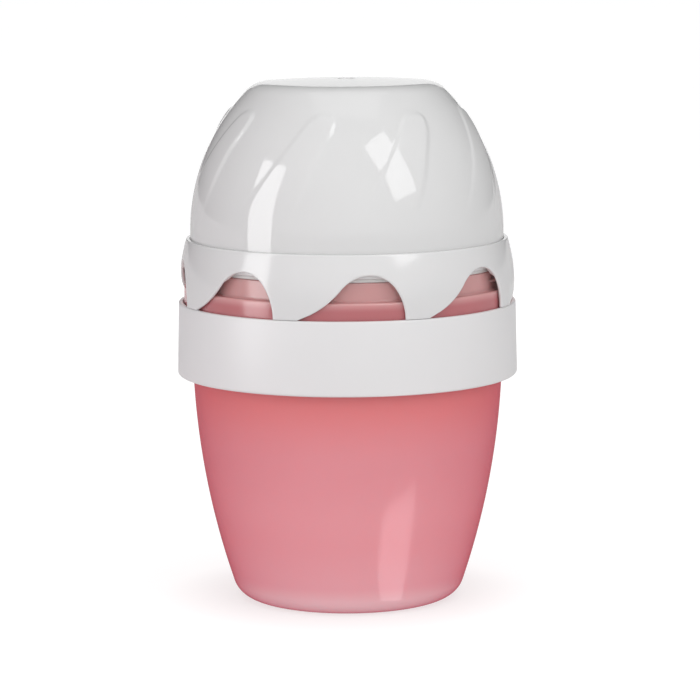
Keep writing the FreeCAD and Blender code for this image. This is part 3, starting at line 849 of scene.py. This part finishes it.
LID_FLOOR, LID_WALL = 104.6, 1.8
GRIP_HALF, GRIP_EDGE, GRIP_STEPS = 2.5, 1.3, 6  # half its thickness, and the rounding of its edges


def make_inner_lid():
    section = [
        (20.0, LID_FLOOR),
        (48.2, LID_FLOOR, 0.8),
        (48.2, 110.9, 0.4),
        (51.9, 110.9, 0.4),
        (51.9, 112.4, 0.4),
        (46.4, 112.4, 0.8),
        (46.4, LID_FLOOR + LID_WALL, 1.4),
        (20.0, LID_FLOOR + LID_WALL),
    ]
    outline = [(0.0, LID_FLOOR), *rounded(section, closed=False), (0.0, LID_FLOOR + LID_WALL)]
    disc = lathe(outline, FINE, closed=False)
    left_half = [(-13.0, 117.0, 5.0), (-26.0, 111.4, 2.0), (-29.0, 104.9)]
    right_half = [(29.0, 104.9), (26.0, 111.4, 2.0), (13.0, 117.0, 5.0)]
    side = np.array(rounded(right_half + left_half, step=10))
    ahead, behind = np.roll(side, -1, axis=0), np.roll(side, 1, axis=0)
    run = ahead - behind
    inward = np.stack([-run[:, 1], run[:, 0]], -1) / np.hypot(*run.T)[:, None]
    layers = []
    for t in np.linspace(0, math.pi / 2, GRIP_STEPS):
        layers.append((-GRIP_HALF + GRIP_EDGE * (1 - math.cos(t)), GRIP_EDGE * (1 - math.sin(t))))
    layers += [(-y, inset) for y, inset in layers[::-1]]
    count = len(side)
    verts = [(x, y, z) for y, inset in layers for x, z in side + inward * inset]
    faces = [list(range(count)), [len(verts) - 1 - k for k in range(count)]]
    for i in range(len(layers) - 1):
        for k in range(count):
            a, b = i * count + k, i * count + (k + 1) % count
            faces.append([a, a + count, b + count, b])
    piece = make_object("lid_shell", *joined([disc, (verts, faces)]), WHITE)
    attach(piece, "lid")
    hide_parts("inner_lid")


def make_seal(name, body, inside, outside, foot, top):
    """A soft ring with a shallow groove along its upper face, between two rounded lips."""
    lip = (outside - inside) / 3
    section = [
        (outside, foot, 0.35),
        (outside, top, 0.35),
        (outside - lip, top, 0.25),
        (outside - lip * 1.3, top - 0.25, 0.2),
        (inside + lip * 1.3, top - 0.25, 0.2),
        (inside + lip, top, 0.25),
        (inside, top, 0.35),
        (inside, foot, 0.35),
    ]
    piece = make_object(f"{name}_ring", *lathe(rounded(section, step=30), FINE), SILICONE)
    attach(piece, body)
    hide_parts(name)


# ---------------------------------------------------------------- build the pieces

make_outer_cup()
make_band()
make_mixing_cup()
make_collar()
make_dome()
make_inner_lid()
make_seal("cup_seal", "mixing", 47.8, 51.2, 90.55, 92.05)
make_seal("lid_seal", "lid", 48.5, 50.6, 109.65, 110.85)

# ---------------------------------------------------------------- stage, light and camera


def aimed(obj, place, target):
    obj.location = Vector(place)
    obj.rotation_euler = (Vector(target) - Vector(place)).to_track_quat("-Z", "Y").to_euler()


def softbox(name, place, target, width, height, power, colour=(1, 1, 1)):
    light = bpy.data.lights.new(name, "AREA")
    light.shape = "RECTANGLE"
    light.size, light.size_y = width, height
    light.energy = power
    light.color = colour
    obj = bpy.data.objects.new(name, light)
    bpy.context.scene.collection.objects.link(obj)
    aimed(obj, place, target)
    return obj


CENTRE = (0, 0, 0.12)
RIGHT_ROLL = 14.0


def around_axis(azimuth, elevation, distance):
    """A place by its direction and distance from CENTRE, where the lights aim."""
    a, e = math.radians(azimuth), math.radians(elevation)
    x, y, z = CENTRE
    flat = distance * math.cos(e)
    return (x + flat * math.sin(a), y - flat * math.cos(a), z + distance * math.sin(e))


# two softboxes and a card behind, for the highlights
left = softbox("left_box", around_axis(-63.5, 11, 0.5), CENTRE, 0.176, 0.42, 1.08)
right = softbox("right_box", around_axis(39, 35.5, 0.9), CENTRE, 0.285, 0.61, 1.95)
right.rotation_euler.rotate_axis("Z", math.radians(RIGHT_ROLL))
back = softbox("back_card", (0, 0.62, 0.22), (0, 0, 0.17), 0.34, 0.2, 0.195)
for box in (left, right, back):
    box.visible_diffuse = False
# the overhead light
top = softbox("top_box", (0, 0, 1.3), CENTRE, 0.9, 0.9, 1.7)
# two fills that reflections don't show: a pink one low on the left and a wide one behind
fill = softbox("left_fill", (-0.5, -0.1, 0.04), (0, 0, 0.08), 0.25, 0.06, 0.17, (1, 0.72, 0.84))
behind = softbox("back_fill", (0, 0.85, 0.25), (0, 0, 0.08), 0.9, 0.5, 2.2)
for box in (fill, behind):
    box.visible_glossy = False
for box in (left, right, back, top, fill, behind):
    box.visible_camera = False


FLOOR_HALF, FLOOR_GREY, FLOOR_EMISSION = 30.0, 0.35, 0.38
SEEN_GREY, CONTACT_DISTANCE, CONTACT_SAMPLES = 0.4, 0.025, 8
CONTACT_OPEN, CONTACT_GLOW = (0.3, 1.0), (0.6, 0.76)


def make_floor():
    """The table top. The camera sees it as white paper, and the object sees it as a dimmer one.

    The white it shows the camera falls off close to the object, as a contact shade.
    """
    size = FLOOR_HALF
    corners = [(-size, -size, 0), (size, -size, 0), (size, size, 0), (-size, size, 0)]
    mesh = bpy.data.meshes.new("floor")
    mesh.from_pydata(corners, [], [(0, 1, 2, 3)])
    floor = bpy.data.objects.new("floor", mesh)
    bpy.context.scene.collection.objects.link(floor)
    material, tree, shader = new_material("pale_floor")
    shader.inputs["Base Color"].default_value = (FLOOR_GREY, FLOOR_GREY, FLOOR_GREY, 1)
    shader.inputs["Roughness"].default_value = 0.9
    shader.inputs["Specular IOR Level"].default_value = 0.0
    shader.inputs["Emission Color"].default_value = (1, 0.98, 0.985, 1)
    shader.inputs["Emission Strength"].default_value = FLOOR_EMISSION
    nodes, links = tree.nodes, tree.links
    pale = nodes.new("ShaderNodeBsdfDiffuse")
    pale.inputs["Color"].default_value = (SEEN_GREY, SEEN_GREY, SEEN_GREY, 1)
    white = nodes.new("ShaderNodeEmission")
    corner = nodes.new("ShaderNodeAmbientOcclusion")
    corner.samples = CONTACT_SAMPLES
    corner.inputs["Distance"].default_value = CONTACT_DISTANCE
    contact = mapped(tree, corner.outputs["AO"], CONTACT_OPEN, CONTACT_GLOW)
    links.new(contact, white.inputs["Strength"])
    both = nodes.new("ShaderNodeAddShader")
    seen = nodes.new("ShaderNodeMixShader")
    path = nodes.new("ShaderNodeLightPath")
    links.new(pale.outputs[0], both.inputs[0])
    links.new(white.outputs[0], both.inputs[1])
    links.new(path.outputs["Is Camera Ray"], seen.inputs[0])
    links.new(shader.outputs[0], seen.inputs[1])
    links.new(both.outputs[0], seen.inputs[2])
    links.new(seen.outputs[0], nodes["Material Output"].inputs["Surface"])
    mesh.materials.append(material)


GLOW_Z = 0.5
GLOW_OUTLINE = [
    (20, -35), (13, -39), (18, -55), (37, -88), (54, -94), (69, -92), (95, -89), (64, -64), (34, -44)
]


def make_glow(name, outline, strength):
    """A bright patch of the table top that only reflections see."""
    mesh = bpy.data.meshes.new(name)
    corners = [(x * MM, y * MM, GLOW_Z * MM) for x, y in outline]
    mesh.from_pydata(corners, [], [tuple(range(len(outline)))])
    glow = bpy.data.objects.new(name, mesh)
    bpy.context.scene.collection.objects.link(glow)
    material, tree, shader = new_material(name)
    shader.inputs["Base Color"].default_value = (0, 0, 0, 1)
    shader.inputs["Emission Color"].default_value = (1, 1, 1, 1)
    shader.inputs["Emission Strength"].default_value = strength
    mesh.materials.append(material)
    glow.visible_camera = glow.visible_diffuse = glow.visible_shadow = False


WORLD_LEVEL, WORLD_SLOPE, WORLD_LEAST = 0.52, (0.16, -0.87, 0.1), 0.05


def make_world():
    """White behind the object, and a light that is brighter from the front and never quite dark."""
    world = bpy.data.worlds.new("studio")
    bpy.context.scene.world = world
    world.use_nodes = True
    nodes, links = world.node_tree.nodes, world.node_tree.links
    nodes.clear()
    out = nodes.new("ShaderNodeOutputWorld")
    seen = nodes.new("ShaderNodeBackground")
    seen.inputs["Color"].default_value = (1, 1, 1, 1)
    seen.inputs["Strength"].default_value = 1.0
    lit = nodes.new("ShaderNodeBackground")
    lit.inputs["Color"].default_value = (1, 1, 1, 1)
    where = nodes.new("ShaderNodeTexCoord")
    slope = nodes.new("ShaderNodeVectorMath")
    slope.operation = "DOT_PRODUCT"
    slope.inputs[1].default_value = WORLD_SLOPE
    level = nodes.new("ShaderNodeMath")
    level.operation = "ADD"
    level.inputs[1].default_value = WORLD_LEVEL
    floor = nodes.new("ShaderNodeMath")
    floor.operation = "MAXIMUM"
    floor.inputs[1].default_value = WORLD_LEAST
    links.new(where.outputs["Generated"], slope.inputs[0])
    links.new(slope.outputs["Value"], level.inputs[0])
    links.new(level.outputs[0], floor.inputs[0])
    links.new(floor.outputs[0], lit.inputs["Strength"])
    mix = nodes.new("ShaderNodeMixShader")
    path = nodes.new("ShaderNodeLightPath")
    links.new(path.outputs["Is Camera Ray"], mix.inputs[0])
    links.new(lit.outputs[0], mix.inputs[1])
    links.new(seen.outputs[0], mix.inputs[2])
    links.new(mix.outputs[0], out.inputs[0])


SENSOR, LENS = 36.0, 177.4285714  # mm
CAMERA_DISTANCE, CAMERA_AIM_Z, CAMERA_SIDE = 1.130, 0.0812, 0.000818841  # metres
CAMERA_ELEVATION, CAMERA_ROLL = 8.3, -0.3


def make_camera():
    camera = bpy.data.cameras.new("camera")
    camera.sensor_width = SENSOR
    camera.lens = LENS
    camera.clip_end = 100.0
    obj = bpy.data.objects.new("camera", camera)
    bpy.context.scene.collection.objects.link(obj)
    tilt = math.radians(CAMERA_ELEVATION)
    back, up = CAMERA_DISTANCE * math.cos(tilt), CAMERA_DISTANCE * math.sin(tilt)
    obj.location = (CAMERA_SIDE, -back, CAMERA_AIM_Z + up)
    obj.rotation_mode = "QUATERNION"
    level = Euler((math.pi / 2 - tilt, 0, 0)).to_quaternion()
    obj.rotation_quaternion = level @ Euler((0, 0, math.radians(CAMERA_ROLL))).to_quaternion()
    bpy.context.scene.camera = obj


make_floor()
make_glow("front_glow", GLOW_OUTLINE, 4.2)
make_world()
make_camera()
bpy.context.scene.view_settings.view_transform = "Standard"
